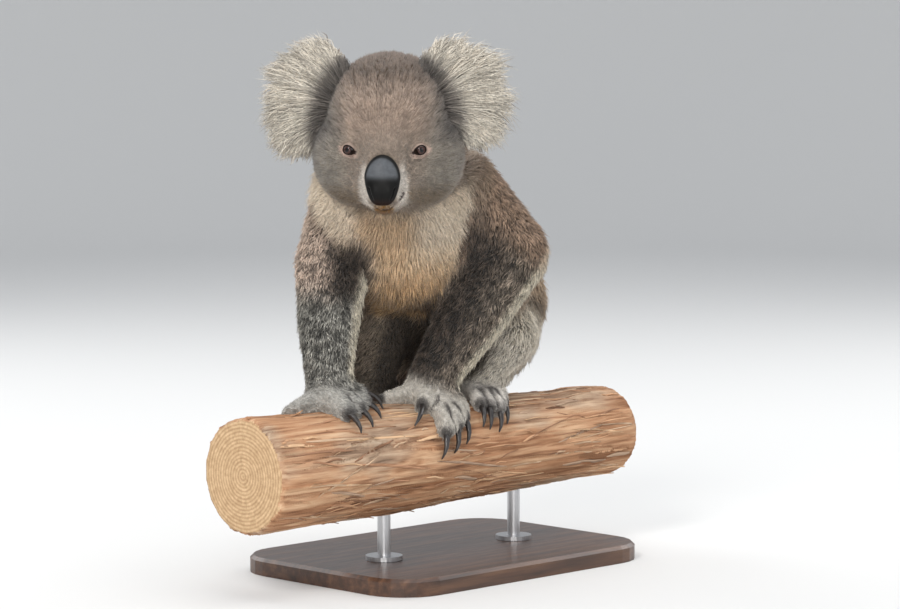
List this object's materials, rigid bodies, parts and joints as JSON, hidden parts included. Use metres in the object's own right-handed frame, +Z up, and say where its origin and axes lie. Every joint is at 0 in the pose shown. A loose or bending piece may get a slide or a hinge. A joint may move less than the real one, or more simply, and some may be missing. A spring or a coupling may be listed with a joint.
{
  "type": "koala model",
  "caption": "Life-size koala model, poised on a cut length of gum branch that a plain display stand holds up.",
  "frame": {"origin": "on the floor, under the middle of the whole model's bounding box", "axes": "+Z up, +X to the koala's left, and the koala faces -Y"},
  "size_m": [0.396, 0.4072, 0.4915],
  "materials": {
    "fur": "dense matte grey-brown coat, cream on the chest",
    "ear_fur": "long pale grey and white hair",
    "nose_skin": "finely grained, dark, slightly shiny skin",
    "eye": "wet, clear over a red-brown iris",
    "claw_horn": "dark polished horn",
    "bark": "orange-brown stringy gum bark, pale sawn ends",
    "base_wood": "dark stained, satin",
    "rod_steel": "brushed"
  },
  "bodies": {
    "root": {"claw_foot_left_1": "claw_horn", "claw_foot_left_2": "claw_horn", "claw_foot_left_3": "claw_horn", "claw_foot_left_4": "claw_horn", "claw_foot_right_1": "claw_horn", "claw_foot_right_2": "claw_horn", "claw_foot_right_3": "claw_horn", "claw_foot_right_4": "claw_horn", "claw_hand_left_1": "claw_horn", "claw_hand_left_2": "claw_horn", "claw_hand_left_3": "claw_horn", "claw_hand_left_4": "claw_horn", "claw_hand_left_5": "claw_horn", "claw_hand_right_1": "claw_horn", "claw_hand_right_2": "claw_horn", "claw_hand_right_3": "claw_horn", "claw_hand_right_4": "claw_horn", "claw_hand_right_5": "claw_horn", "ear_left": "ear_fur", "ear_right": "ear_fur", "eye_left": "eye", "eye_right": "eye", "foot_left": "fur", "foot_right": "fur", "forearm_left": "fur", "forearm_right": "fur", "hand_left": "fur", "hand_right": "fur", "head": "fur", "neck": "fur", "nose": "nose_skin", "perch_branch": "bark", "shank_left": "fur", "shank_right": "fur", "stand_base": "base_wood", "stand_rod_far": "rod_steel", "stand_rod_near": "rod_steel", "thigh_left": "fur", "thigh_right": "fur", "trunk": "fur", "upper_arm_left": "fur", "upper_arm_right": "fur"}
  },
  "joints": []
}
